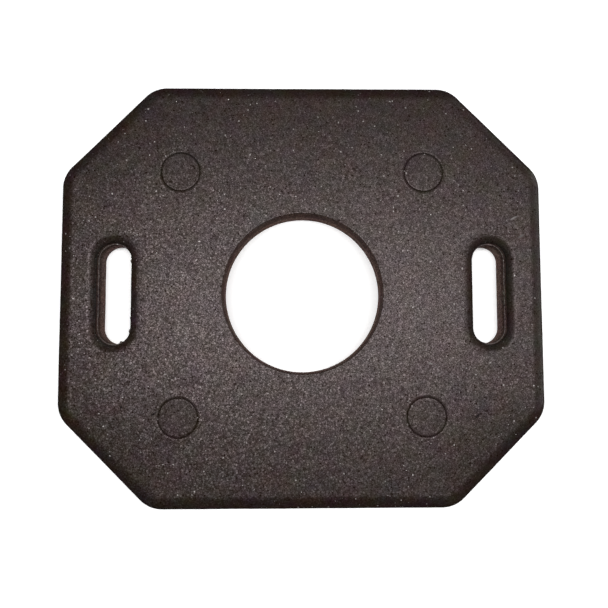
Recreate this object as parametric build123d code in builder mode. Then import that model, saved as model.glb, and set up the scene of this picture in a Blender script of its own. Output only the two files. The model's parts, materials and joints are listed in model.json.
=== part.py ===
"""Rubber base that weighs down a road delineator post.

The slab is one crumb-rubber moulding: a long octagon with a post bore, two hand slots and a
rounded top edge. Four push-in rubber plugs close blind pockets near the corners.
Millimetres. The long side lies along X, the road is Z = 0 and the bore stands on the origin.
"""
from build123d import *
import os

# Slab
BASE_LENGTH = 406.4
BASE_WIDTH = 355.6
BASE_HEIGHT = 28.6
CORNER_CUT = 77.0            # taken off both sides of each corner
CORNER_ROUND = 27.0          # plan radius where a cut meets a side
TOP_EDGE_ROUND = 13.0
BOTTOM_EDGE_CHAMFER = 1.5
PARTING_DEPTH = 14.6         # mould parting line, below the top face
PARTING_STEP = 0.5           # the lower mould half stands this far inside the upper one
LOWER_DRAFT = 3.0            # degrees, below the parting line

# Post bore
BORE_DIAMETER = 133.4
BORE_RIM_CHAMFER = 0.9

# Hand slots
SLOT_LENGTH = 84.0
SLOT_WIDTH = 27.2
GRIP_WIDTH = 32.4            # bar left between a slot and the short side, for the hand
SLOT_EDGE_ROUND = 7.0
SLOT_STEP_DEPTH = 10.0       # where the two mould cores meet, below the top face
SLOT_STEP = 0.5              # the upper core is this much wider all round
SLOT_FOOT_CHAMFER = 1.0

# Corner plugs and their pockets
PLUG_DIAMETER = 32.4         # across the face
PLUG_HEIGHT = 12.0
PLUG_SPACING_X = 203.2
PLUG_SPACING_Y = 203.2
PLUG_SINK = 0.2              # plug face below the slab's top face
PLUG_CLEARANCE = 0.1         # plug side to pocket wall
PLUG_RIM_CHAMFER = 0.9       # with the pocket's lip, the groove round the plug
POCKET_LIP_CHAMFER = 0.9
PLUG_FOOT_CHAMFER = 1.2      # to start the plug in its pocket

# Places that follow from those sizes
EDGE_LAND = 0.4              # straight wall left below a rounded edge
SAME_RADIUS = 0.001          # closer than this, two radii count as one
parting_height = BASE_HEIGHT - PARTING_DEPTH
slot_step_height = BASE_HEIGHT - SLOT_STEP_DEPTH
slot_spacing = BASE_LENGTH - 2 * GRIP_WIDTH - SLOT_WIDTH
top_edge_round = min(TOP_EDGE_ROUND, PARTING_DEPTH - EDGE_LAND)
slot_edge_round = min(SLOT_EDGE_ROUND, SLOT_STEP_DEPTH - EDGE_LAND)
pocket_depth = PLUG_HEIGHT + PLUG_SINK
pocket_floor = BASE_HEIGHT - pocket_depth
plug_radius = PLUG_DIAMETER / 2
pocket_radius = plug_radius + PLUG_CLEARANCE


def draw_octagon(inset=0.0):
    """Draws the slab's outline with its rounded corners in the open sketch, inset all round."""
    Rectangle(BASE_LENGTH, BASE_WIDTH)
    chamfer(vertices(), length=CORNER_CUT)
    fillet(vertices(), radius=CORNER_ROUND)
    if inset:
        offset(amount=-inset, mode=Mode.REPLACE)


def draw_slots(widen=0.0):
    """Draws both hand slots in the open sketch, crosswise to the long side and widened all round."""
    with GridLocations(slot_spacing, 0, 2, 1):
        SlotOverall(SLOT_LENGTH + 2 * widen, SLOT_WIDTH + 2 * widen, rotation=90)


def top_circles(radius):
    """The edges of one radius among the circles in the open part's top face."""
    circles = edges().group_by(Axis.Z)[-1].filter_by(GeomType.CIRCLE)
    return circles.filter_by(lambda edge: abs(edge.radius - radius) < SAME_RADIUS)


with BuildPart() as base_slab:
    # Upper mould half, with the wide round where the top face turns down
    with BuildSketch(Plane.XY.offset(parting_height)):
        draw_octagon()
    extrude(amount=PARTING_DEPTH)
    fillet(faces().sort_by(Axis.Z)[-1].edges(), radius=top_edge_round)

    # Lower mould half, drawn in towards the road
    with BuildSketch(Plane(origin=(0, 0, parting_height), z_dir=(0, 0, -1))):
        draw_octagon(PARTING_STEP)
    extrude(amount=parting_height, taper=LOWER_DRAFT)
    chamfer(faces().sort_by(Axis.Z)[0].edges(), length=BOTTOM_EDGE_CHAMFER)

    # Hand slots, with a ledge where the mould cores meet
    with BuildSketch(Plane.XY):
        draw_slots()
    extrude(amount=BASE_HEIGHT, mode=Mode.SUBTRACT)
    with BuildSketch(Plane.XY.offset(slot_step_height)):
        draw_slots(SLOT_STEP)
    extrude(amount=SLOT_STEP_DEPTH, mode=Mode.SUBTRACT)
    slot_mouths = faces().sort_by(Axis.Z)[-1].inner_wires()
    fillet([edge for wire in slot_mouths for edge in wire.edges()], radius=slot_edge_round)
    slot_feet = faces().sort_by(Axis.Z)[0].inner_wires()
    chamfer([edge for wire in slot_feet for edge in wire.edges()], length=SLOT_FOOT_CHAMFER)

    # Straight post bore with an almost sharp rim
    Hole(radius=BORE_DIAMETER / 2)
    chamfer(top_circles(BORE_DIAMETER / 2), length=BORE_RIM_CHAMFER)

    # Blind pockets for the corner plugs
    with Locations(Plane.XY.offset(BASE_HEIGHT)):
        with GridLocations(PLUG_SPACING_X, PLUG_SPACING_Y, 2, 2):
            Hole(radius=pocket_radius, depth=pocket_depth)
    chamfer(top_circles(pocket_radius), length=POCKET_LIP_CHAMFER)


def corner_plug(x, y):
    """A push-in plug at one corner, turned from a profile that stands on its pocket's floor."""
    profile_plane = Plane(origin=(x, y, pocket_floor), x_dir=(1, 0, 0), z_dir=(0, -1, 0))
    with BuildPart() as plug:
        with BuildSketch(profile_plane):
            Rectangle(plug_radius, PLUG_HEIGHT, align=(Align.MIN, Align.MIN))
            chamfer(vertices().group_by(Axis.X)[-1].sort_by(Axis.Y)[0], length=PLUG_FOOT_CHAMFER)
            chamfer(vertices().group_by(Axis.X)[-1].sort_by(Axis.Y)[-1], length=PLUG_RIM_CHAMFER)
        revolve(axis=Axis((x, y, 0), (0, 0, 1)))
    return plug.part


pieces = {"base_slab": base_slab.part}
for row, y_side in (("front", -1), ("rear", 1)):
    for column, x_side in (("left", -1), ("right", 1)):
        plug_name = f"corner_plug_{row}_{column}"
        pieces[plug_name] = corner_plug(x_side * PLUG_SPACING_X / 2, y_side * PLUG_SPACING_Y / 2)

os.makedirs("parts", exist_ok=True)
for name, piece in pieces.items():
    piece.label = name
    export_step(piece, f"parts/{name}.step")
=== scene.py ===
"""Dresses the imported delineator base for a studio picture.

A dense crumb-rubber slab and four corner plugs stand for the CAD nodes. Geometry nodes give the rubber its
relief and make the set-in crumbs, the pale chips and the mould flash.
Metres. The long side lies along X, the road is Z = 0 and the bore stands on the origin.
"""
import json
import math

import bpy
import numpy as np
from mathutils import Matrix, Vector, noise
from mathutils.geometry import delaunay_2d_cdt
from mathutils.kdtree import KDTree


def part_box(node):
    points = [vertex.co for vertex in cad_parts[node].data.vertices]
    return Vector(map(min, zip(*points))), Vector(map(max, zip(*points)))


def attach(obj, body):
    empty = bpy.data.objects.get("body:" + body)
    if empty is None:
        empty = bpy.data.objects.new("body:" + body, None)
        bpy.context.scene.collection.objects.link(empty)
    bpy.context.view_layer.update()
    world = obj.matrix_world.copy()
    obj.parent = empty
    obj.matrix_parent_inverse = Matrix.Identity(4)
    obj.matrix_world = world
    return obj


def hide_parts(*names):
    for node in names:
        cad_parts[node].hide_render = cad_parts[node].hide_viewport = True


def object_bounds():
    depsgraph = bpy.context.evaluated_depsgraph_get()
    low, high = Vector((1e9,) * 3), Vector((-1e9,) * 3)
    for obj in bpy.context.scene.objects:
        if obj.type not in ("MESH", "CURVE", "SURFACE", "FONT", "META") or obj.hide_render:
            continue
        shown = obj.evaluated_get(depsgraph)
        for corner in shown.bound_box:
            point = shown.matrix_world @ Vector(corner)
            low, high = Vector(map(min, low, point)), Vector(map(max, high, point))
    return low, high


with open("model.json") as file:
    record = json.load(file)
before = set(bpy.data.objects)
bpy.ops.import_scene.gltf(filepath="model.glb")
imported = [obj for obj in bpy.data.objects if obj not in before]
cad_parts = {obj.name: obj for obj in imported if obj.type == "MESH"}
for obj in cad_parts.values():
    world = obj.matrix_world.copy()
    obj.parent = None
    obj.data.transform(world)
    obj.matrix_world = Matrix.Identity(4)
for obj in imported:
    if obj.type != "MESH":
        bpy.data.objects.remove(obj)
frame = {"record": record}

CAD_BOX = [list(corner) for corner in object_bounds()]
MM = 0.001
SEED = 11

# Slab, to the CAD model's sizes
SLAB_LOW, SLAB_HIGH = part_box("base_slab")
SLAB_TOP = SLAB_HIGH.z
CORNER_CUT = 77 * MM
CORNER_ROUND = 27 * MM
TOP_EDGE_ROUND = 13 * MM
BOTTOM_EDGE_CHAMFER = 1.5 * MM
PARTING_DEPTH = 14.6 * MM
PARTING_STEP = 0.5 * MM
LOWER_DRAFT = math.radians(3)
PARTING_HEIGHT = SLAB_TOP - PARTING_DEPTH

# Post bore
POST_BORE = next(mount for mount in frame["record"]["mounts"] if mount["name"] == "post_bore")
BORE_RADIUS = POST_BORE["dims"]["r_mm"] * MM
BORE_RIM_CHAMFER = 0.4 * MM  # sharper than in the CAD model, as the face shines right up to it

# Hand slots
SLOT_LENGTH = 84 * MM
SLOT_WIDTH = 27.2 * MM
GRIP_WIDTH = 32.4 * MM
SLOT_EDGE_ROUND = 7 * MM
SLOT_STEP_DEPTH = 10 * MM
SLOT_STEP_HEIGHT = SLAB_TOP - SLOT_STEP_DEPTH
SLOT_STEP = 0.5 * MM
SLOT_FOOT_CHAMFER = 1 * MM
SLOT_CENTRE_X = SLAB_HIGH.x - GRIP_WIDTH - SLOT_WIDTH / 2

# Corner plugs and their pockets
PLUG_NAMES = [f"{row}_{column}" for row in ("front", "rear") for column in ("left", "right")]
PLUG_CLEARANCE = 0.1 * MM
PLUG_RIM_CHAMFER = 0.9 * MM
PLUG_RIM_BULGE = PLUG_RIM_CHAMFER / 3  # makes the rim rounder than a straight chamfer
PLUG_FOOT_CHAMFER = 1.2 * MM
POCKET_LIP_CHAMFER = 0.9 * MM

# How finely the meshes are divided
FACE_SPACING = 1.5 * MM
WALL_SPACING = 2.0 * MM
EDGE_SPACING = 1.4 * MM
RIM_BAND = 1.0 * MM  # flat ring round a hole's or a plug's sharp rim
UNDERSIDE_SPACING = 4.0 * MM
PLUG_SPACING = 1.0 * MM
JITTER = 0.3  # of the spacing, for the points that fill a flat
RIM_CLEARANCE = 0.7  # of the spacing, between those points and a rim
SAME_POINT = 0.1  # of the spacing, below which two points of a rim are one
MERGE_DISTANCE = 1e-9  # below which points are one to the triangulation
SHARP_ANGLE = math.radians(40)  # above which faces meet in a sharp edge

# Crumb relief, all of it sunk below the moulded surface
BED_DEPTH = 0.15 * MM
GRAIN_DEPTH = 0.3 * MM
GRAIN_WIDTH = 3.0 * MM
FINE_DETAIL = 2.0  # of this and the other fine noises
SWELL_DEPTH = 0.14 * MM
SWELL_WIDTH = 22 * MM
SWELL_DETAIL = 1.0
EDGE_WANDER = 0.3 * MM
EDGE_WANDER_LENGTH = 38 * MM
SIDE_RELIEF = 0.45  # share of the relief that upright sides take
RIM_RELIEF = 0.8  # sharp rims, the plugs' faces and the road face
GROOVE_RELIEF = 0.5  # the bulge of a plug's rim

# Crumbs in the rubber's own pattern
CRUMB_WIDTH = 1.5 * MM
SWAY_WIDTH = 2.4 * MM  # of the noise that bends the crumbs' outlines
FINE_WIDTH = 0.7 * MM
MIDDLE_COLOUR = (0.5, 0.5, 0.5)  # of a random colour that stands for a direction
PATCH_WIDTH = 18 * MM
PATCH_DETAIL = 3.0
FACE_PATCH_TINT = 1.3  # how far patches of the top face and the plugs differ in colour
WALL_PATCH_TINT = 0.35  # of the walls, the sides and the flash
PAINTED_FOOT_LIGHT_FADES = (10.5 * MM, 13.0 * MM)  # heights between which the hole walls' paler foot ends; painted light, as from the white floor below
COARSE_SIDE = (-1.0, -1.0, 0.0)  # the front left, where the grain is coarser
COARSE_REACH = 0.22  # x and y together, from the bore to where it is coarsest
GAP_TONE = 0.35  # between crumbs, of their own tone
GAP_REACH = 0.18  # of a crumb's width, where a gap ends
BINDER_TONE = (0.0075, 0.0026, 0.0)  # of the warm binder, which gaps and pits leave as it is
GLOSS_TINT = (1.0, 0.846, 0.854, 1)  # a little warm
ROUGHNESS_SWING = 0.05  # up and down, from fine grain to fine grain

# Pits and pale specks in some cells. Edges are the shares of a cell's width between which they end, and
# chances the random numbers between which they get stronger
SPECK_WIDTH = 1.9 * MM
SPECK_TONE = (0.4, 0.37, 0.36, 1)
SPECK_EDGES = (0.28, 0.38)
SPECK_CHANCES = (0.98, 1.0)
PIT_TONE = 0.1  # of the rubber round it
PIT_EDGES = (0.3, 0.46)
PIT_CHANCES = (0.72, 1.0)

# Set-in crumbs and chips
BIT_SIZES = ("Spacing", "Density", "Side Share", "Smallest", "Largest", "Flatness", "Rise", "Tilt")
LEAST_STRETCH = (0.7, 0.7, 0.8)
MOST_STRETCH = (1.3, 1.3, 1.2)
LARGE_BITS_POWER = 2.0  # higher for fewer large bits
LIGHT_BITS_POWER = 3.0  # higher for fewer light bits
UPWARD_FROM = 0.6  # height of a place's normal, below which the place counts as a side
BIT_GRAIN_WIDTH = 0.6 * MM
BIT_GRAIN_RANGE = (0.3, 0.7)  # where most of that noise lies
BIT_SHADES = (1.1, 0.6)  # of a bit's own tone, over that range
BIT_SHINE = 0.4
BIT_ROUGHNESS_SWING = 0.08  # up and down, over that range
BIT_GLOSS_TINT = (1.0, 0.84, 0.82, 1)

# Finishes that the faces of one piece wear, by number
FACE, WALL, SIDE = range(3)
FINISH_NAMES = ("Face Finish", "Wall Finish", "Side Finish")

# Share of the face's gloss that edges, sides and plugs have
SIDE_GLOSS = 0.002
LIGHTER_WAY = math.radians(15)  # from +X towards +Y: edges that face this way look lighter
LIGHTER_POWER = 3  # how closely an edge must face that way
LIGHTER_GLOSS = 0.06  # edges that face the lighter side
LIGHTER_TURN = 0.55  # how much further down they stay glossy
TOWARDS_GLOSS = 0.3  # edges of the slots that face the bore
BOTH_GLOSS = 0.8  # edges of the slots that face the bore and the lighter side
RIM_GLOSS = 0.8
GROOVE_GLOSS = 0.4
CREST_GLOSS = 0.85  # where the top face turns over at the slab's straight sides
REAR_CREST_GLOSS = 0.6  # at its rear side
REAR_POWER = 4  # how closely an edge must face the rear
CORNER_CREST_GLOSS = 0.4  # at its cut corners
SLOT_CREST_GLOSS = 0.4  # where it turns over into a slot, on the side towards the bore
TOWARDS_CREST_GLOSS = 0.85  # on a slot's far side
CREST_SPREAD = 6.0 * MM  # how far the dull crest reaches over the flat
CREST_FALL = 2  # power by which it ends over that way
HAZE_SPREAD = 50 * MM  # how far a weak haze reaches in from the outline's crest
HAZE_FALL = 1
HAZE_SHARE = 0.6  # of the crest's dullness, next to the crest
EDGE_FADE = 2.0  # power by which a rounded edge dulls, one less where it faces the lighter side
UPRIGHT_FADE = 6  # how late a rounded edge loses its last gloss as it turns upright
AWAY_TURNS = (0.0, 0.3)  # sines of the slopes between which an edge that faces away from the bore dulls
TOWARDS_TURNS = (0.2, 1.0)  # the same for a slot's edge that faces the bore
PLUG_GLOSS = {"front_left": 0.82, "front_right": 1.0, "rear_left": 1.03, "rear_right": 1.18}
DULL_SHARE = 0.4  # of the face's gloss, below which a place is also rougher
DULL_ROUGHNESS = 0.8  # where no gloss is left

# Scuffs on the top face: centre from the bore and length in millimetres, turn in degrees, tone
SCUFF_WIDTH = 2.0 * MM
SCUFF_EDGES = (0.5, 1.0)  # of its half size, over which a scuff ends
SCUFF_COVER = 0.85  # of the rubber's colour
SCUFF_GLOSS = 0.3  # of the gloss round it
SCUFF_TINT = (1.0, 0.92, 0.9)
SCUFFS = (
    ((177, 63), 8.5, 26, 0.2),
    ((182.5, 47.7), 7.5, 29, 0.11),
    ((105, -58), 5.5, -22, 0.2),
    ((143, -101), 8, 45, 0.005),
    ((-121, -98), 7, 36, 0.005),
    ((-147.5, -93), 4, 90, 0.005),
)

# Mould flash, and its longer tags in the slots by their places from the bore in millimetres
FLASH_SIZES = ("Thin", "Wide", "Flatness", "Height", "Rag Length", "Sparseness", "Tag Reach", "Step", "Seed")
FLASH_SIDES = 6
PARTING_FLASH_INSET = 0.4 * MM
SLOT_FLASH_INSET = 0.25 * MM
TAG_WIDTH = 1.1 * MM
TAG_REACH = 1.9 * MM
SLOT_TAGS = {
    "left": ((-143.4, 27.8), (-143.4, -30.8), (-151, -41.4)),
    "right": ((160, 38.5),),
}

# Picture: the camera was fitted to the outline, the bore and the corner discs
IMAGE_SIDE = 608
LENS_PIXELS = 550  # focal length
SENSOR_WIDTH = 36.0
CLIP_START = 0.01
CAMERA_PLACE = Vector((-5.9, -36.4, 480.8)) * MM
CAMERA_TURN = (0.0605, -0.0155, -0.0011)  # radians about X, Y and Z
LAMP_PLACE = Vector((38, 45, 1030)) * MM
LAMP_LENGTH = 1100 * MM
LAMP_WIDTH = 200 * MM
LAMP_POWER = 11.8
FILL_STRENGTH = 0.10
FLOOR_RADIUS = 2.5
FLOOR_SIDES = 96
COVE_ROUND = 1.0
COVE_HEIGHT = 1.9
COVE_BENDS = 12
FLOOR_TONE = 0.95
FLOOR_ROUGHNESS = 0.9
FLOOR_MARGIN = 0.18  # over plain white, so that no grey shows


def add_object(name, data):
    """Puts an object with this data into the scene."""
    thing = bpy.data.objects.new(name, data)
    bpy.context.scene.collection.objects.link(thing)
    return thing


class Rim:
    """A closed path round the slab or round a hole, seen from above, with the rubber on its left.

    Points are complex numbers. For each point, into is the unit step into the rubber.
    """

    def __init__(self, corners, radius, spacing, hole):
        """Rounds the corners, which come anticlockwise, and divides the path about evenly."""
        points = []
        outward = []
        for i, corner in enumerate(corners):
            following = corners[(i + 1) % len(corners)]
            before = (corner - corners[i - 1]) / abs(corner - corners[i - 1])
            after = (following - corner) / abs(following - corner)
            turn = np.angle(after / before)
            setback = radius * math.tan(turn / 2)
            centre = corner + before * (-setback + 1j * radius)
            count = max(2, round(radius * turn / spacing))
            arc = -1j * before * np.exp(1j * turn * np.arange(count + 1) / count)
            points.append(centre + radius * arc)
            outward.append(arc)
            run = abs(following - corner) - 2 * setback
            parts = int(run / spacing)
            if parts > 1:
                along = run * np.arange(1, parts) / parts
                points.append(points[-1][-1] + after * along)
                outward.append(np.full(parts - 1, -1j * after))
        path = np.concatenate(points)
        apart = abs(path - np.roll(path, 1)) > SAME_POINT * spacing
        path = path[apart]
        out = np.concatenate(outward)[apart]
        self.points = path[::-1] if hole else path
        self.into = out[::-1] if hole else -out

    def wander(self, depth, length, seed):
        """Moves the path into the rubber by a slow, seeded unevenness."""
        places = [Vector((p.real / length, p.imag / length, seed)) for p in self.points]
        shares = np.array([0.5 + 0.5 * noise.noise(place) for place in places])
        self.points = self.points + self.into * depth * shares
        return self


def rectangle(centre, length, width):
    """The corners of a rectangle about a centre, anticlockwise, as complex numbers."""
    half = complex(length / 2, width / 2)
    return [centre - half, centre + half.conjugate(), centre + half, centre - half.conjugate()]


def circle_rim(centre, radius, spacing, hole=True):
    """A circle, as a square whose corners are rounded until they meet."""
    return Rim(rectangle(centre, 2 * radius, 2 * radius), radius, spacing, hole)


def octagon_corners():
    """The corners of the slab's outline, anticlockwise."""
    corners = []
    for corner in rectangle(0, SLAB_HIGH.x - SLAB_LOW.x, SLAB_HIGH.y - SLAB_LOW.y):
        side_x = complex(-math.copysign(CORNER_CUT, corner.real), 0)
        side_y = complex(0, -math.copysign(CORNER_CUT, corner.imag))
        first, second = (side_y, side_x) if corner.real * corner.imag > 0 else (side_x, side_y)
        corners += [corner + first, corner + second]
    return corners


class Shell:
    """A closed skin that is put together from rings of points and the faces between them."""

    def __init__(self):
        self.points = []
        self.relief = []
        self.gloss = []
        self.faces = []
        self.finish = []

    def add_points(self, flat, height, relief, gloss):
        """Adds points at one height and returns their numbers."""
        start = len(self.points)
        self.points += [(p.real, p.imag, height) for p in flat]
        self.relief += [relief] * len(flat)
        self.gloss += list(np.broadcast_to(gloss, len(flat)))
        return list(range(start, len(self.points)))

    def add_face(self, corners, finish):
        """Adds one face with the number of its finish."""
        self.faces.append(corners)
        self.finish.append(finish)

    def wall(self, rim, profile):
        """Raises a wall from the bottom up and returns its lowest and highest rings.

        For each ring, the profile has its depth into the rubber, its height, its shares of the relief and the
        gloss, and the finish of the band above it.
        """
        rings = [self.add_points(rim.points + depth * rim.into, height, relief, gloss)
                 for depth, height, relief, gloss, finish in profile]
        for low, high, ring in zip(rings, rings[1:], profile):
            for i in range(len(low)):
                j = (i + 1) % len(low)
                self.add_face((low[i], low[j], high[j], high[i]), ring[-1])
        return rings[0], rings[-1]

    def face(self, rings, height, spacing, relief, finish, downwards=False):
        """Fills the flat between the first ring and the holes with jittered triangles."""
        loops = [np.array([complex(*self.points[n][:2]) for n in ring]) for ring in rings]
        numbers = [n for ring in rings for n in ring]
        home = [(k, i) for k, ring in enumerate(rings) for i in range(len(ring))]
        sides = []
        start = 0
        for loop in loops:
            sides += [(start + i, start + (i + 1) % len(loop)) for i in range(len(loop))]
            start += len(loop)
        inner = scattered_points(loops, spacing)
        crest = self.dullness(numbers, inner, CREST_SPREAD, CREST_FALL)
        haze = self.dullness(rings[0], inner, HAZE_SPREAD, HAZE_FALL)
        gloss = SIDE_GLOSS if downwards else 1.0 - np.maximum(crest, HAZE_SHARE * haze)
        numbers += self.add_points(inner, height, relief, gloss)
        places = [Vector((p.real, p.imag)) for p in np.concatenate(loops + [inner])]
        triangles = delaunay_2d_cdt(places, sides, [], 0, MERGE_DISTANCE)[2]
        for triangle in triangles:
            if max(triangle) < start and off_the_rubber([home[n] for n in triangle], loops):
                continue
            corners = [numbers[n] for n in triangle]
            self.add_face(corners[::-1] if downwards else corners, finish)

    def dullness(self, numbers, places, spread, fall):
        """The gloss that the nearest of some points lacks, as far as it spreads to each place."""
        rim = point_tree([complex(*self.points[n][:2]) for n in numbers])
        lacks = []
        for place in places:
            nearest, away = rim.find((place.real, place.imag, 0.0))[1:]
            lacks.append((1.0 - self.gloss[numbers[nearest]]) * max(0.0, 1.0 - away / spread) ** fall)
        return np.array(lacks)

    def build(self, name):
        """Makes the mesh object, with its relief and gloss shares and its finish numbers as attributes."""
        mesh = bpy.data.meshes.new(name)
        mesh.from_pydata(self.points, [], self.faces)
        for label, values in (("relief_share", self.relief), ("gloss_share", self.gloss)):
            attribute = mesh.attributes.new(label, "FLOAT", "POINT")
            attribute.data.foreach_set("value", np.array(values, np.float32))
        attribute = mesh.attributes.new("finish", "INT", "FACE")
        attribute.data.foreach_set("value", np.array(self.finish, np.int32))
        return add_object(name, mesh)


def point_tree(places):
    """A search tree of places on a plane."""
    tree = KDTree(len(places))
    for i, place in enumerate(places):
        tree.insert((place.real, place.imag, 0.0), i)
    tree.balance()
    return tree


def off_the_rubber(homes, loops):
    """Whether an anticlockwise triangle between points of a single loop lies on the loop's empty side."""
    (loop, first), (second_loop, second), (third_loop, third) = homes
    if not loop == second_loop == third_loop:
        return False
    length = len(loops[loop])
    return (second - first) % length > (third - first) % length


def on_rubber(loops, places):
    """Which places lie between the loops, by how often a line from each to the right crosses them."""
    held = np.zeros(len(places), bool)
    for loop in loops:
        for a, b in zip(loop, np.roll(loop, -1)):
            level = np.flatnonzero((a.imag > places.imag) != (b.imag > places.imag))
            if len(level):
                meeting = a.real + (places[level].imag - a.imag) * (b.real - a.real) / (b.imag - a.imag)
                held[level] ^= places[level].real < meeting
    return held


def scattered_points(loops, spacing):
    """Points of a jittered triangular grid between the loops and clear of them."""
    chance = np.random.default_rng(SEED)
    outer = loops[0]
    columns = np.arange(outer.real.min(), outer.real.max(), spacing)
    rows = np.arange(outer.imag.min(), outer.imag.max(), spacing * math.sqrt(3) / 2)
    x, y = np.meshgrid(columns, rows)
    x = x + spacing / 2 * (np.arange(len(rows)) % 2)[:, None]
    grid = (x + 1j * y).ravel()
    across, along = chance.uniform(-JITTER, JITTER, (2, len(grid)))
    grid = grid + spacing * (across + 1j * along)
    grid = grid[on_rubber(loops, grid)]
    rims = point_tree(np.concatenate(loops))
    clear = [rims.find((p.real, p.imag, 0.0))[2] > RIM_CLEARANCE * spacing for p in grid]
    return grid[np.array(clear)]


def levels(low, high):
    """Heights between two others, about one wall spacing apart."""
    count = max(1, round((high - low) / WALL_SPACING))
    return [low + (high - low) * k / count for k in range(1, count)]


def facing_lighter(rim):
    """How far each point of a rim faces the lighter side, from 0 to 1."""
    facing = -(rim.into * np.exp(-1j * LIGHTER_WAY)).real
    return np.maximum(0.0, facing) ** LIGHTER_POWER


def slab_crest(outline):
    """The gloss where the top face turns over, at each point of the slab's outline."""
    cut = (2 * outline.into.real * outline.into.imag) ** 2
    rear = np.maximum(0.0, -outline.into.imag) ** REAR_POWER
    crest = CREST_GLOSS + (CORNER_CREST_GLOSS - CREST_GLOSS) * cut
    crest = crest + (REAR_CREST_GLOSS - CREST_GLOSS) * rear * (1.0 - cut)
    return crest + (1.0 - crest) * facing_lighter(outline)


def edge_wear(rim, crest, towards=0.0):
    """How a rounded edge loses its gloss on its way down, in the numbers that quarter_round takes.

    crest is the gloss at the top of an edge that faces away from the bore, and towards how far each point
    faces the bore, from 0 to 1.
    """
    lighter = facing_lighter(rim)
    least = SIDE_GLOSS + LIGHTER_GLOSS * lighter + TOWARDS_GLOSS * towards + BOTH_GLOSS * lighter * towards
    crest = crest + (TOWARDS_CREST_GLOSS - crest) * towards
    first_turn, last_turn = [away + (near - away) * towards for away, near in zip(AWAY_TURNS, TOWARDS_TURNS)]
    lighter = lighter * (1.0 - towards)
    return crest, least, first_turn, last_turn + LIGHTER_TURN * lighter, EDGE_FADE - lighter


def quarter_round(radius, start_depth, start_height, wear):
    """The rings of a quarter round, from a wall up to the face above it.

    wear has the gloss at the crest, the least gloss below, the slopes between which it goes and how it fades.
    """
    crest, least, first_turn, last_turn, fade = wear
    count = round(radius * math.pi / 2 / EDGE_SPACING)
    rings = []
    for k in range(1, count + 1):
        rise = math.pi / 2 * k / count
        turned = math.cos(rise)
        depth = start_depth + radius * (1 - turned)
        height = start_height + radius * math.sin(rise)
        relief = 1.0 - (1.0 - SIDE_RELIEF) * turned
        kept = np.clip((last_turn - turned) / (last_turn - first_turn), 0.0, 1.0) ** fade
        gloss = (least + (crest - least) * kept) * (1.0 - turned ** UPRIGHT_FADE)
        rings.append((depth, height, relief, gloss, FACE))
    return rings


def outer_profile(wear):
    """The slab's side, from the road up to the flat of the top face."""
    draft = math.tan(LOWER_DRAFT)
    foot = PARTING_STEP + PARTING_HEIGHT * draft
    round_start = SLAB_TOP - TOP_EDGE_ROUND
    profile = [(foot + BOTTOM_EDGE_CHAMFER, 0.0, 0.0, SIDE_GLOSS, SIDE),
               (foot, BOTTOM_EDGE_CHAMFER, 0.0, SIDE_GLOSS, SIDE)]
    for height in levels(BOTTOM_EDGE_CHAMFER, PARTING_HEIGHT):
        depth = PARTING_STEP + (PARTING_HEIGHT - height) * draft
        profile.append((depth, height, SIDE_RELIEF, SIDE_GLOSS, SIDE))
    profile += [(PARTING_STEP, PARTING_HEIGHT, 0.0, SIDE_GLOSS, FACE),
                (0.0, PARTING_HEIGHT, 0.0, SIDE_GLOSS, FACE),
                (0.0, round_start, SIDE_RELIEF, SIDE_GLOSS, FACE)]
    return profile + quarter_round(TOP_EDGE_ROUND, 0.0, round_start, wear)


def slot_profile(wear):
    """A hand slot's wall, from the road up to the flat of the top face."""
    round_start = SLAB_TOP - SLOT_EDGE_ROUND
    profile = [(SLOT_FOOT_CHAMFER, 0.0, 0.0, SIDE_GLOSS, WALL),
               (0.0, SLOT_FOOT_CHAMFER, 0.0, SIDE_GLOSS, WALL)]
    for height in levels(SLOT_FOOT_CHAMFER, SLOT_STEP_HEIGHT):
        profile.append((0.0, height, SIDE_RELIEF, SIDE_GLOSS, WALL))
    profile += [(0.0, SLOT_STEP_HEIGHT, 0.0, SIDE_GLOSS, WALL),
                (SLOT_STEP, SLOT_STEP_HEIGHT, 0.0, SIDE_GLOSS, WALL),
                (SLOT_STEP, round_start, SIDE_RELIEF, SIDE_GLOSS, FACE)]
    return profile + quarter_round(SLOT_EDGE_ROUND, SLOT_STEP, round_start, wear)


def bore_profile():
    """The post bore's wall, from the road up to the flat of the top face."""
    wall_top = SLAB_TOP - BORE_RIM_CHAMFER
    profile = [(0.0, 0.0, 0.0, SIDE_GLOSS, WALL)]
    for height in levels(0.0, wall_top):
        profile.append((0.0, height, SIDE_RELIEF, SIDE_GLOSS, WALL))
    profile += [(0.0, wall_top, SIDE_RELIEF, SIDE_GLOSS, FACE),
                (BORE_RIM_CHAMFER, SLAB_TOP, RIM_RELIEF, RIM_GLOSS, FACE),
                (BORE_RIM_CHAMFER + RIM_BAND, SLAB_TOP, 1.0, 1.0, FACE)]
    return profile


def pocket_profile(floor):
    """The wall of a plug's pocket, from its floor up to the flat of the top face."""
    return [(0.0, floor, 0.0, SIDE_GLOSS, FACE),
            (0.0, SLAB_TOP - POCKET_LIP_CHAMFER, 0.0, GROOVE_GLOSS / 2, FACE),
            (POCKET_LIP_CHAMFER, SLAB_TOP, RIM_RELIEF, RIM_GLOSS, FACE),
            (POCKET_LIP_CHAMFER + RIM_BAND, SLAB_TOP, 1.0, 1.0, FACE)]


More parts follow.
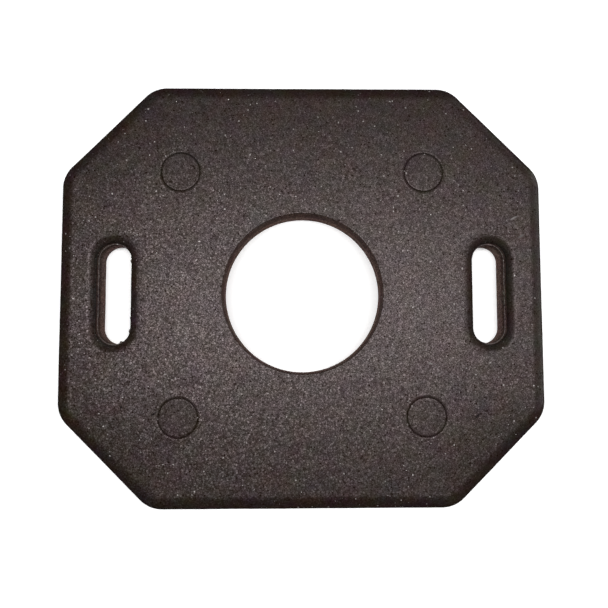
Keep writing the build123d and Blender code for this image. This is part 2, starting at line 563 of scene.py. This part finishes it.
def plug_profile(foot, top):
    """A plug's side, from its foot up to the flat of its face."""
    return [(PLUG_FOOT_CHAMFER, foot, 0.0, SIDE_GLOSS, FACE),
            (0.0, foot + PLUG_FOOT_CHAMFER, 0.0, SIDE_GLOSS, FACE),
            (0.0, top - PLUG_RIM_CHAMFER, 0.0, SIDE_GLOSS, FACE),
            (PLUG_RIM_BULGE, top - PLUG_RIM_BULGE, GROOVE_RELIEF, GROOVE_GLOSS, FACE),
            (PLUG_RIM_CHAMFER, top, RIM_RELIEF, RIM_GLOSS, FACE),
            (PLUG_RIM_CHAMFER + RIM_BAND, top, RIM_RELIEF, 1.0, FACE)]


def plug_place(name):
    """A plug's centre, as a complex number, its radius, and the heights of its foot and its face."""
    low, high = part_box(f"corner_plug_{name}")
    centre = (low + high) / 2
    return complex(centre.x, centre.y), (high.x - low.x) / 2, low.z, high.z


def make_slab():
    """The slab: outer side, slots, bore, pockets, top face and road face as one closed skin."""
    slab = Shell()
    outline = Rim(octagon_corners(), CORNER_ROUND, FACE_SPACING, hole=False)
    outline.wander(EDGE_WANDER, EDGE_WANDER_LENGTH, SEED)
    bore = circle_rim(0, BORE_RADIUS, FACE_SPACING)
    outer_wear = edge_wear(outline, slab_crest(outline))
    walls = [slab.wall(outline, outer_profile(outer_wear)), slab.wall(bore, bore_profile())]
    slots = []
    for side in (-1, 1):
        corners = rectangle(complex(side * SLOT_CENTRE_X, 0), SLOT_WIDTH, SLOT_LENGTH)
        slot = Rim(corners, SLOT_WIDTH / 2, FACE_SPACING, hole=True)
        slots.append(slot.wander(EDGE_WANDER, EDGE_WANDER_LENGTH / 2, SEED + side))
        towards_bore = 0.5 + 0.5 * side * slot.into.real
        walls.append(slab.wall(slot, slot_profile(edge_wear(slot, SLOT_CREST_GLOSS, towards_bore))))
    feet = [low for low, high in walls]
    mouths = [high for low, high in walls]
    slab.face(feet, 0.0, UNDERSIDE_SPACING, RIM_RELIEF, SIDE, downwards=True)
    for name in PLUG_NAMES:
        centre, radius, floor = plug_place(name)[:3]
        pocket = circle_rim(centre, radius + PLUG_CLEARANCE, FACE_SPACING)
        low, high = slab.wall(pocket, pocket_profile(floor))
        slab.add_face(low[::-1], FACE)
        mouths.append(high)
    slab.face(mouths, SLAB_TOP, FACE_SPACING, 1.0, FACE)
    return slab.build("crumb_slab"), outline, slots


def make_plug(name):
    """One corner plug, turned up from its foot to its face, with a gloss of its own."""
    plug = Shell()
    centre, radius, foot, top = plug_place(name)
    rim = circle_rim(centre, radius, PLUG_SPACING, hole=False)
    low, high = plug.wall(rim, plug_profile(foot, top))
    plug.add_face(low[::-1], FACE)
    plug.face([high], top, PLUG_SPACING, RIM_RELIEF, FACE)
    plug.gloss = [share * PLUG_GLOSS[name] for share in plug.gloss]
    return plug.build(f"{name}_plug")


def edge_loop(name, rim, depth, height, tags=()):
    """A bare loop of edges along a rim, for flash to follow, that knows where the flash has longer tags."""
    flat = rim.points + depth * rim.into
    count = len(flat)
    mesh = bpy.data.meshes.new(name)
    edges = [(i, (i + 1) % count) for i in range(count)]
    mesh.from_pydata([(p.real, p.imag, height) for p in flat], edges, [])
    shares = np.zeros(count)
    for place in tags:
        shares += np.exp(-(abs(flat - complex(*place) * MM) / TAG_WIDTH) ** 2)
    attribute = mesh.attributes.new("tag_share", "FLOAT", "POINT")
    attribute.data.foreach_set("value", shares.astype(np.float32))
    return add_object(name, mesh)


def soften(piece):
    """Smooth faces, sharp only where they meet at a wide angle."""
    piece.data.shade_smooth()
    piece.data.set_sharp_from_angle(angle=SHARP_ANGLE)


def give(tree, node, inputs):
    """Gives each named input of a node a value or a link from another node."""
    for name, value in inputs.items():
        if isinstance(value, bpy.types.NodeSocket):
            tree.links.new(value, node.inputs[name])
        else:
            node.inputs[name].default_value = value


def add_node(tree, kind, inputs=None, **settings):
    """Adds a node with its settings and its inputs."""
    node = tree.nodes.new(kind)
    for name, value in settings.items():
        setattr(node, name, value)
    give(tree, node, inputs or {})
    return node


def output_of(tree, kind, inputs=None, **settings):
    """Adds a node like that and returns its first output."""
    return add_node(tree, kind, inputs, **settings).outputs[0]


def math_node(tree, operation, first, second):
    """A number worked out from two others."""
    return output_of(tree, "ShaderNodeMath", {0: first, 1: second}, operation=operation)


def product(tree, first, *others):
    """Some numbers multiplied."""
    for other in others:
        first = math_node(tree, "MULTIPLY", first, other)
    return first


def vector_node(tree, operation, inputs):
    """A vector worked out from others, or the number of a length or a dot product."""
    node = add_node(tree, "ShaderNodeVectorMath", inputs, operation=operation)
    return node.outputs["Value" if operation in ("LENGTH", "DOT_PRODUCT") else "Vector"]


def shaded(tree, vector, share):
    """A colour or another vector times a number."""
    return vector_node(tree, "SCALE", {0: vector, "Scale": share})


def combined(tree, x, y, z):
    """A vector of three numbers."""
    return output_of(tree, "ShaderNodeCombineXYZ", {0: x, 1: y, 2: z})


def parts_of(tree, vector):
    """The three numbers of a vector."""
    return add_node(tree, "ShaderNodeSeparateXYZ", {0: vector}).outputs


def colours_of(tree, colour):
    """The three numbers of a colour."""
    return add_node(tree, "ShaderNodeSeparateColor", {0: colour}).outputs


def ranged(tree, value, low, high, new_low, new_high):
    """A number carried from one range to another, and held there."""
    return output_of(tree, "ShaderNodeMapRange", {
        "Value": value, "From Min": low, "From Max": high, "To Min": new_low, "To Max": new_high})


def random_share(tree, seed):
    """A random number from 0 to 1 for each element."""
    node = add_node(tree, "FunctionNodeRandomValue", {2: 0.0, 3: 1.0, "Seed": seed}, data_type="FLOAT")
    return node.outputs[1]


def random_vector(tree, least, most, seed):
    """A random vector between two others for each element."""
    return output_of(tree, "FunctionNodeRandomValue", {0: least, 1: most, "Seed": seed},
                     data_type="FLOAT_VECTOR")


def attribute_of(tree, name, kind="FLOAT"):
    """A named attribute of the geometry."""
    return output_of(tree, "GeometryNodeInputNamedAttribute", {"Name": name}, data_type=kind)


def noise_at(tree, width, seed, detail):
    """Noise of about this width over the geometry, from 0 to 1."""
    place = output_of(tree, "GeometryNodeInputPosition")
    scale = math_node(tree, "DIVIDE", 1.0, width)
    return output_of(tree, "ShaderNodeTexNoise", {
        "Vector": place, "W": seed, "Scale": scale, "Detail": detail}, noise_dimensions="4D")


def geometry_tree(name, inputs):
    """A geometry node tree with named inputs, and their sockets."""
    tree = bpy.data.node_groups.new(name, "GeometryNodeTree")
    tree.interface.new_socket("Geometry", in_out="INPUT", socket_type="NodeSocketGeometry")
    for label, kind in inputs.items():
        tree.interface.new_socket(label, in_out="INPUT", socket_type=f"NodeSocket{kind}")
    tree.interface.new_socket("Geometry", in_out="OUTPUT", socket_type="NodeSocketGeometry")
    return tree, tree.nodes.new("NodeGroupInput").outputs


def end_tree(tree, geometry, *materials):
    """Ends a tree with real meshes that wear one material, or several by the faces' finish numbers."""
    real = output_of(tree, "GeometryNodeRealizeInstances", {"Geometry": geometry})
    for number, material in enumerate(materials):
        inputs = {"Geometry": real, "Material": material}
        if len(materials) > 1:
            finish = attribute_of(tree, "finish", "INT")
            inputs["Selection"] = output_of(tree, "FunctionNodeCompare", {2: finish, 3: number},
                                            data_type="INT", operation="EQUAL")
        real = output_of(tree, "GeometryNodeSetMaterial", inputs)
    tree.links.new(real, tree.nodes.new("NodeGroupOutput").inputs[0])
    return tree


def bake_tree(piece, tree, values):
    """Runs a tree on a piece with these inputs and keeps the result as its plain mesh."""
    modifier = piece.modifiers.new(tree.name, "NODES")
    modifier.node_group = tree
    for item in tree.interface.items_tree:
        if item.in_out == "INPUT" and item.name in values:
            modifier[item.identifier] = values[item.name]
    depsgraph = bpy.context.evaluated_depsgraph_get()
    mesh = bpy.data.meshes.new_from_object(piece.evaluated_get(depsgraph), depsgraph=depsgraph)
    piece.modifiers.clear()
    piece.data = mesh


def relief_tree():
    """Sinks a moulded skin by its bed, its grain and its slow swell, as far as each point takes relief."""
    tree, given = geometry_tree("crumb_relief", {
        "Bed Depth": "Float", "Grain Depth": "Float", "Grain Width": "Float", "Swell Depth": "Float",
        "Swell Width": "Float", "Seed": "Float", **dict.fromkeys(FINISH_NAMES, "Material")})
    grain = noise_at(tree, given["Grain Width"], given["Seed"], FINE_DETAIL)
    swell = noise_at(tree, given["Swell Width"], given["Seed"], SWELL_DETAIL)
    uneven = math_node(tree, "ADD", product(tree, grain, given["Grain Depth"]),
                       product(tree, swell, given["Swell Depth"]))
    depth = math_node(tree, "ADD", given["Bed Depth"], uneven)
    sink = product(tree, depth, attribute_of(tree, "relief_share"), -1.0)
    offset = shaded(tree, output_of(tree, "GeometryNodeInputNormal"), sink)
    moved = output_of(tree, "GeometryNodeSetPosition", {"Geometry": given["Geometry"], "Offset": offset})
    return end_tree(tree, moved, *[given[label] for label in FINISH_NAMES])


def crumb_tree():
    """Sets flattened bits of rubber into a skin, each a little proud of it and held inside a box."""
    tree, given = geometry_tree("set_in_bits", {
        **dict.fromkeys(BIT_SIZES, "Float"), "Lowest Corner": "Vector", "Highest Corner": "Vector",
        "Seed": "Int", "Material": "Material"})
    seed = given["Seed"]
    relief = attribute_of(tree, "relief_share")
    facing = parts_of(tree, output_of(tree, "GeometryNodeInputNormal"))[2]
    upward = ranged(tree, facing, UPWARD_FROM, 1.0, given["Side Share"], 1.0)
    spread = add_node(tree, "GeometryNodeDistributePointsOnFaces", {
        "Mesh": given["Geometry"], "Distance Min": given["Spacing"], "Density Max": given["Density"],
        "Density Factor": product(tree, relief, upward), "Seed": seed}, distribute_method="POISSON")

    # Each bit's own size, stretch and lean
    large = math_node(tree, "POWER", random_share(tree, seed), LARGE_BITS_POWER)
    size = ranged(tree, large, 0.0, 1.0, given["Smallest"], given["Largest"])
    scale = combined(tree, size, size, product(tree, size, given["Flatness"]))
    stretch = random_vector(tree, LEAST_STRETCH, MOST_STRETCH, seed)
    scale = vector_node(tree, "MULTIPLY", {0: scale, 1: stretch})
    tilt = given["Tilt"]
    other_tilt = product(tree, tilt, -1.0)
    least_spin = combined(tree, other_tilt, other_tilt, 0.0)
    most_spin = combined(tree, tilt, tilt, 2 * math.pi)
    spin = random_vector(tree, least_spin, most_spin, seed)
    turn = output_of(tree, "FunctionNodeEulerToRotation", {0: spin})

    # Sunk until only its rise stands out of the skin
    back = output_of(tree, "FunctionNodeInvertRotation", {0: turn})
    upright = output_of(tree, "FunctionNodeRotateVector", {"Vector": (0, 0, 1), "Rotation": back})
    reach = vector_node(tree, "LENGTH", {0: vector_node(tree, "MULTIPLY", {0: upright, 1: scale})})
    drop = math_node(tree, "SUBTRACT", product(tree, given["Rise"], relief), reach)
    offset = shaded(tree, spread.outputs["Normal"], drop)
    points = output_of(tree, "GeometryNodeSetPosition", {
        "Geometry": spread.outputs["Points"], "Offset": offset})
    turned = output_of(tree, "FunctionNodeRotateRotation", {
        "Rotation": spread.outputs["Rotation"], "Rotate By": turn}, rotation_space="LOCAL")
    ball = output_of(tree, "GeometryNodeMeshIcoSphere", {"Radius": 1.0, "Subdivisions": 1})
    bits = output_of(tree, "GeometryNodeInstanceOnPoints", {
        "Points": points, "Instance": ball, "Rotation": turned, "Scale": scale})

    tone = random_share(tree, math_node(tree, "ADD", seed, 1.0))
    toned = output_of(tree, "GeometryNodeStoreNamedAttribute", {
        "Geometry": bits, "Name": "bit_tone", "Value": tone}, data_type="FLOAT", domain="INSTANCE")
    real = output_of(tree, "GeometryNodeRealizeInstances", {"Geometry": toned})
    place = output_of(tree, "GeometryNodeInputPosition")
    held = vector_node(tree, "MAXIMUM", {0: place, 1: given["Lowest Corner"]})
    held = vector_node(tree, "MINIMUM", {0: held, 1: given["Highest Corner"]})
    trimmed = output_of(tree, "GeometryNodeSetPosition", {"Geometry": real, "Position": held})
    return end_tree(tree, trimmed, given["Material"])


def flash_tree():
    """A ragged flat lip of rubber along a level path, squeezed out between two parts of the mould."""
    tree, given = geometry_tree("mould_flash", {
        **dict.fromkeys(FLASH_SIZES, "Float"), "Material": "Material"})
    curve = output_of(tree, "GeometryNodeMeshToCurve", {"Mesh": given["Geometry"]})
    even = output_of(tree, "GeometryNodeResampleCurve", {
        "Curve": curve, "Length": given["Step"]}, mode="LENGTH")
    rag = noise_at(tree, given["Rag Length"], given["Seed"], FINE_DETAIL)
    rag = math_node(tree, "POWER", rag, given["Sparseness"])
    reach = math_node(tree, "ADD", given["Thin"], product(tree, rag, given["Wide"]))
    tag = product(tree, attribute_of(tree, "tag_share"), given["Tag Reach"])
    reach = math_node(tree, "ADD", reach, tag)
    section = output_of(tree, "GeometryNodeCurvePrimitiveCircle", {"Resolution": FLASH_SIDES, "Radius": 1.0})
    lip = output_of(tree, "GeometryNodeCurveToMesh", {
        "Curve": even, "Profile Curve": section, "Scale": reach})
    x, y, z = parts_of(tree, output_of(tree, "GeometryNodeInputPosition"))
    above = product(tree, math_node(tree, "SUBTRACT", z, given["Height"]), given["Flatness"])
    place = combined(tree, x, y, math_node(tree, "ADD", given["Height"], above))
    flat = output_of(tree, "GeometryNodeSetPosition", {"Geometry": lip, "Position": place})
    return end_tree(tree, flat, given["Material"])


def new_material(name):
    """A material with a bare node tree, its shader and its object coordinates."""
    material = bpy.data.materials.new(name)
    material.use_nodes = True
    tree = material.node_tree
    tree.nodes.clear()
    shader = tree.nodes.new("ShaderNodeBsdfPrincipled")
    end = tree.nodes.new("ShaderNodeOutputMaterial")
    tree.links.new(shader.outputs[0], end.inputs["Surface"])
    place = tree.nodes.new("ShaderNodeTexCoord").outputs["Object"]
    return material, tree, shader, place


def mixed(tree, share, first, second):
    """Two colours mixed by a share. Sockets whose names repeat go by their numbers, here and elsewhere."""
    return add_node(tree, "ShaderNodeMix", {0: share, 6: first, 7: second}, data_type="RGBA").outputs[2]


def noise_in(tree, place, width, detail=FINE_DETAIL):
    """A noise texture of about this width."""
    return add_node(tree, "ShaderNodeTexNoise", {"Vector": place, "Scale": 1 / width, "Detail": detail})


def cells_in(tree, place, width, feature="F1"):
    """A pattern of uneven cells of about this width."""
    return add_node(tree, "ShaderNodeTexVoronoi", {"Vector": place, "Scale": 1 / width}, feature=feature)


def scuffed(tree, place, colour, gloss):
    """A colour and a gloss with the face's dull scuffs drawn on them."""
    for (x, y), length, turn, tone in SCUFFS:
        stroke = output_of(tree, "ShaderNodeMapping", {
            "Vector": place, "Location": (x * MM, y * MM, SLAB_TOP), "Rotation": (0, 0, math.radians(turn)),
            "Scale": (length * MM / 2, SCUFF_WIDTH / 2, 1.0)}, vector_type="TEXTURE")
        reach = vector_node(tree, "LENGTH", {0: stroke})
        scuff_colour = (*[share * tone for share in SCUFF_TINT], 1)
        colour = mixed(tree, ranged(tree, reach, *SCUFF_EDGES, SCUFF_COVER, 0.0), colour, scuff_colour)
        gloss = product(tree, gloss, ranged(tree, reach, *SCUFF_EDGES, SCUFF_GLOSS, 1.0))
    return colour, gloss


def worn_gloss(tree, shine, roughness):
    """The gloss and the roughness of a place, as far as it keeps those of the top face."""
    share = add_node(tree, "ShaderNodeAttribute", attribute_name="gloss_share").outputs["Fac"]
    dull = ranged(tree, share, 0.0, DULL_SHARE, DULL_ROUGHNESS, 0.0)
    return product(tree, share, shine), math_node(tree, "MAXIMUM", roughness, dull)


def crumb_rubber(name, tone, roughness, shine, lean, contrast, binder=(0.0, 0.0, 0.0),
                 patch_tint=WALL_PATCH_TINT, painted_foot_light=1.0, scuffs=False):
    """Rubber of pressed crumbs: each has its own lean, tone and gloss, with dark gaps between them.

    tone is the mean colour, lean the crumbs' steepest slope, and contrast how far apart their tones are, away
    from the coarse side and towards it. binder is a colour that gaps and pits show too, patch_tint how far
    slow patches differ in colour, and painted_foot_light how much lighter the colour is painted at the road,
    as painted light from the floor.
    """
    material, tree, shader, place = new_material(name)
    sway = noise_in(tree, place, SWAY_WIDTH).outputs["Color"]
    sway = vector_node(tree, "SUBTRACT", {0: sway, 1: MIDDLE_COLOUR})
    swayed = vector_node(tree, "ADD", {0: place, 1: shaded(tree, sway, CRUMB_WIDTH)})
    crumbs = cells_in(tree, swayed, CRUMB_WIDTH)
    gap = cells_in(tree, swayed, CRUMB_WIDTH, "DISTANCE_TO_EDGE").outputs["Distance"]
    fine = colours_of(tree, cells_in(tree, place, FINE_WIDTH).outputs["Color"])[0]
    specks = cells_in(tree, swayed, SPECK_WIDTH)
    from_speck = specks.outputs["Distance"]
    rare = colours_of(tree, specks.outputs["Color"])

    # Light and dark from crumb to crumb, from grain to grain, in gaps and in pits
    coarse = vector_node(tree, "DOT_PRODUCT", {0: place, 1: COARSE_SIDE})
    coarse = ranged(tree, coarse, -COARSE_REACH, COARSE_REACH, *contrast)
    darkest = math_node(tree, "SUBTRACT", 1.0, coarse)
    lightest = math_node(tree, "ADD", 1.0, coarse)
    crumb_light = ranged(tree, colours_of(tree, crumbs.outputs["Color"])[2], 0.0, 1.0, darkest, lightest)
    fine_light = ranged(tree, fine, 0.0, 1.0, darkest, lightest)
    gap_light = ranged(tree, gap, 0.0, GAP_REACH, GAP_TONE, 1.0)
    pit = product(tree, ranged(tree, rare[1], *PIT_CHANCES, 0.0, 1.0),
                  ranged(tree, from_speck, *PIT_EDGES, 1.0, 0.0))
    pit_light = ranged(tree, pit, 0.0, 1.0, 1.0, PIT_TONE)
    grain = product(tree, crumb_light, fine_light, gap_light, pit_light)

    # Colour
    patch = noise_in(tree, place, PATCH_WIDTH, PATCH_DETAIL).outputs["Color"]
    tint = vector_node(tree, "MULTIPLY_ADD", {0: patch, 1: [patch_tint] * 3, 2: [1.0 - patch_tint / 2] * 3})
    colour = shaded(tree, vector_node(tree, "MULTIPLY", {0: tint, 1: tone}), grain)
    colour = vector_node(tree, "ADD", {0: colour, 1: binder})
    # Painted light: the colour grows lighter towards the road, standing in for light from the floor below
    if painted_foot_light != 1.0:
        height = parts_of(tree, place)[2]
        colour = shaded(tree, colour, ranged(tree, height, *PAINTED_FOOT_LIGHT_FADES, painted_foot_light, 1.0))
    speck = product(tree, ranged(tree, rare[0], *SPECK_CHANCES, 0.0, 1.0),
                    ranged(tree, from_speck, *SPECK_EDGES, 1.0, 0.0))
    colour = mixed(tree, speck, colour, SPECK_TONE)

    # Gloss, and the lean of each crumb about its middle
    rough = ranged(tree, fine, 0.0, 1.0, roughness + ROUGHNESS_SWING, roughness - ROUGHNESS_SWING)
    gloss, rough = worn_gloss(tree, shine, rough)
    gloss = product(tree, grain, gloss)
    if scuffs:
        colour, gloss = scuffed(tree, place, colour, gloss)
    way = vector_node(tree, "SUBTRACT", {0: crumbs.outputs["Color"], 1: MIDDLE_COLOUR})
    from_middle = vector_node(tree, "SUBTRACT", {0: swayed, 1: crumbs.outputs["Position"]})
    leaning = vector_node(tree, "DOT_PRODUCT", {0: from_middle, 1: shaded(tree, way, 2 * lean)})
    normal = output_of(tree, "ShaderNodeBump", {"Height": leaning, "Distance": 1.0, "Strength": 1.0})
    give(tree, shader, {"Base Color": colour, "Specular IOR Level": gloss, "Roughness": rough,
                        "Specular Tint": GLOSS_TINT, "Normal": normal})
    return material


def bit_rubber(name, dark, light, roughness):
    """Crumbs or chips, each of its own tone between two colours."""
    material, tree, shader, place = new_material(name)
    tone = add_node(tree, "ShaderNodeAttribute", attribute_name="bit_tone").outputs["Fac"]
    fine = noise_in(tree, place, BIT_GRAIN_WIDTH).outputs[0]
    colour = mixed(tree, math_node(tree, "POWER", tone, LIGHT_BITS_POWER), dark, light)
    colour = shaded(tree, colour, ranged(tree, fine, *BIT_GRAIN_RANGE, *BIT_SHADES))
    smoothest = roughness - BIT_ROUGHNESS_SWING
    roughest = roughness + BIT_ROUGHNESS_SWING
    gloss, rough = worn_gloss(tree, BIT_SHINE, ranged(tree, fine, *BIT_GRAIN_RANGE, smoothest, roughest))
    give(tree, shader, {"Base Color": colour, "Specular IOR Level": gloss, "Roughness": rough,
                        "Specular Tint": BIT_GLOSS_TINT})
    return material


def floor_paint():
    """White paint. The white that the lamp doesn't give further out is added for the eye alone."""
    material, tree, shader, place = new_material("floor_paint")
    give(tree, shader, {"Base Color": (FLOOR_TONE, FLOOR_TONE, FLOOR_TONE, 1), "Roughness": FLOOR_ROUGHNESS,
                        "Specular IOR Level": 0.0})
    path = tree.nodes.new("ShaderNodeLightPath").outputs
    seen = math_node(tree, "MAXIMUM", path["Is Camera Ray"], path["Is Glossy Ray"])
    seen = math_node(tree, "MAXIMUM", seen, path["Is Transmission Ray"])
    # The light of a flat lamp falls off with the fourth power of the cosine
    away = vector_node(tree, "DOT_PRODUCT", {0: place, 1: place})
    away = math_node(tree, "DIVIDE", away, LAMP_PLACE.z ** 2)
    lit = math_node(tree, "POWER", math_node(tree, "ADD", away, 1.0), -2.0)
    lack = math_node(tree, "SUBTRACT", 1.0 + FLOOR_MARGIN, product(tree, lit, FLOOR_TONE))
    lack = math_node(tree, "MINIMUM", lack, 1.0)
    glow = output_of(tree, "ShaderNodeEmission", {"Strength": product(tree, lack, seen)})
    both = output_of(tree, "ShaderNodeAddShader", {0: shader.outputs[0], 1: glow})
    tree.links.new(both, tree.nodes["Material Output"].inputs["Surface"])
    return material


def make_floor():
    """A white floor that curves up into a wall all round, far from the base."""
    bends = np.linspace(0, math.pi / 2, COVE_BENDS + 1)
    profile = [(FLOOR_RADIUS + COVE_ROUND * math.sin(bend), COVE_ROUND * (1 - math.cos(bend)))
               for bend in bends]
    profile.append((FLOOR_RADIUS + COVE_ROUND, COVE_HEIGHT))
    count = FLOOR_SIDES
    turns = 2 * math.pi * np.arange(count) / count
    points = [(away * math.cos(turn), away * math.sin(turn), height)
              for away, height in profile for turn in turns]
    faces = [tuple(range(count))]
    for k in range(len(profile) - 1):
        for i in range(count):
            j = (i + 1) % count
            faces.append((k * count + i, (k + 1) * count + i, (k + 1) * count + j, k * count + j))
    mesh = bpy.data.meshes.new("studio_floor")
    mesh.from_pydata(points, [], faces)
    mesh.shade_smooth()
    mesh.materials.append(floor_paint())
    add_object("studio_floor", mesh)


def make_light():
    """A long soft lamp almost over the camera, and a weak even fill."""
    data = bpy.data.lights.new("key_lamp", "AREA")
    data.shape = "RECTANGLE"
    data.size = LAMP_LENGTH
    data.size_y = LAMP_WIDTH
    data.energy = LAMP_POWER
    add_object("key_lamp", data).location = LAMP_PLACE
    world = bpy.data.worlds.new("studio_fill")
    bpy.context.scene.world = world
    world.use_nodes = True
    fill = world.node_tree.nodes["Background"]
    give(world.node_tree, fill, {"Strength": FILL_STRENGTH, "Color": (1, 1, 1, 1)})


def make_camera():
    """The camera at the photograph's place."""
    data = bpy.data.cameras.new("camera")
    data.sensor_width = SENSOR_WIDTH
    data.lens = SENSOR_WIDTH * LENS_PIXELS / IMAGE_SIDE
    data.clip_start = CLIP_START
    turn = Matrix.Identity(4)
    for angle, axis in zip(CAMERA_TURN, "XYZ"):
        turn = turn @ Matrix.Rotation(angle, 4, axis)
    camera = add_object("camera", data)
    camera.matrix_world = Matrix.Translation(CAMERA_PLACE) @ turn
    bpy.context.scene.camera = camera


def join_base(piece, slot, *nodes):
    """Lets a finished piece move with the base and stand for CAD nodes. slot is not used."""
    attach(piece, "root")
    if nodes:
        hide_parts(*nodes)


# Finishes
face_rubber = crumb_rubber(
    "face_rubber", tone=(0.0205, 0.0174, 0.0175), roughness=0.435, shine=0.551, lean=0.07,
    contrast=(0.08, 0.42), binder=BINDER_TONE, patch_tint=FACE_PATCH_TINT, scuffs=True)
# Hole walls, their foot painted lighter as light from the floor would make it
wall_rubber = crumb_rubber(
    "wall_rubber", tone=(0.107, 0.070, 0.061), roughness=0.75, shine=0.5, lean=0.05,
    contrast=(0.3, 0.3), painted_foot_light=1.7)
side_rubber = crumb_rubber(
    "side_rubber", tone=(0.032, 0.0255, 0.0245), roughness=0.6, shine=0.5, lean=0.06, contrast=(0.2, 0.2))
flash_rubber = crumb_rubber(
    "flash_rubber", tone=(0.15, 0.12, 0.112), roughness=0.6, shine=0.5, lean=0.05, contrast=(0.3, 0.3))
plug_rubber = crumb_rubber(
    "plug_rubber", tone=(0.0138, 0.0120, 0.0122), roughness=0.43, shine=0.511, lean=0.07,
    contrast=(0.055, 0.285), binder=BINDER_TONE, patch_tint=FACE_PATCH_TINT)
crumb_tones = bit_rubber(
    "crumb_tones", dark=(0.012, 0.009, 0.0085, 1), light=(0.075, 0.06, 0.057, 1), roughness=0.45)
chip_tones = bit_rubber(
    "chip_tones", dark=(0.09, 0.078, 0.075, 1), light=(0.75, 0.71, 0.69, 1), roughness=0.6)

# Slab and plugs
relief = relief_tree()
relief_sizes = {"Bed Depth": BED_DEPTH, "Grain Depth": GRAIN_DEPTH, "Grain Width": GRAIN_WIDTH,
                "Swell Depth": SWELL_DEPTH, "Swell Width": SWELL_WIDTH, "Seed": float(SEED),
                "Wall Finish": wall_rubber, "Side Finish": side_rubber}
slab, outline, slots = make_slab()
bake_tree(slab, relief, {**relief_sizes, "Face Finish": face_rubber})
soften(slab)
plugs = []
for name in PLUG_NAMES:
    plug = make_plug(name)
    bake_tree(plug, relief, {**relief_sizes, "Grain Depth": GRAIN_DEPTH / 2, "Face Finish": plug_rubber})
    soften(plug)
    plugs.append(plug)

# Set-in crumbs and chips, kept inside the CAD model's box
bits = crumb_tree()
shared = {"Largest": 1.0 * MM, "Lowest Corner": CAD_BOX[0], "Highest Corner": CAD_BOX[1]}
crumbs = add_object("surface_crumbs", slab.data.copy())
bake_tree(crumbs, bits, {
    **shared, "Spacing": 2.0 * MM, "Density": 70000.0, "Side Share": 0.3, "Smallest": 0.4 * MM,
    "Flatness": 0.4, "Rise": 0.1 * MM, "Tilt": 0.2, "Seed": SEED, "Material": crumb_tones})
chips = add_object("pale_chips", slab.data.copy())
bake_tree(chips, bits, {
    **shared, "Spacing": 1.5 * MM, "Density": 6000.0, "Side Share": 0.1, "Smallest": 0.35 * MM,
    "Flatness": 0.5, "Rise": 0.13 * MM, "Tilt": 0.3, "Seed": SEED + 1, "Material": chip_tones})

# Mould flash
flash = flash_tree()
parting_flash = edge_loop("parting_flash", outline, PARTING_FLASH_INSET, PARTING_HEIGHT)
bake_tree(parting_flash, flash, {
    "Thin": 0.12 * MM, "Wide": 0.25 * MM, "Flatness": 0.7, "Height": PARTING_HEIGHT, "Rag Length": 5 * MM,
    "Sparseness": 3.0, "Tag Reach": 0.0, "Step": 1.2 * MM, "Seed": float(SEED), "Material": face_rubber})
slot_flashes = []
for side, slot in zip(("left", "right"), slots):
    slot_flash = edge_loop(f"{side}_slot_flash", slot, SLOT_FLASH_INSET, SLOT_STEP_HEIGHT, SLOT_TAGS[side])
    bake_tree(slot_flash, flash, {
        "Thin": 0.45 * MM, "Wide": 12 * MM, "Flatness": 0.3, "Height": SLOT_STEP_HEIGHT, "Rag Length": 4 * MM,
        "Sparseness": 7.0, "Tag Reach": TAG_REACH, "Step": 0.8 * MM, "Seed": float(SEED),
        "Material": flash_rubber})
    slot_flashes.append(slot_flash)

join_base(slab, "crumb_rubber", "base_slab")
for name, plug in zip(PLUG_NAMES, plugs):
    join_base(plug, "plug_rubber", f"corner_plug_{name}")
for piece in [crumbs, chips, parting_flash] + slot_flashes:
    join_base(piece, "crumb_rubber")

make_floor()
make_light()
make_camera()
bpy.context.scene.view_settings.view_transform = "Standard"
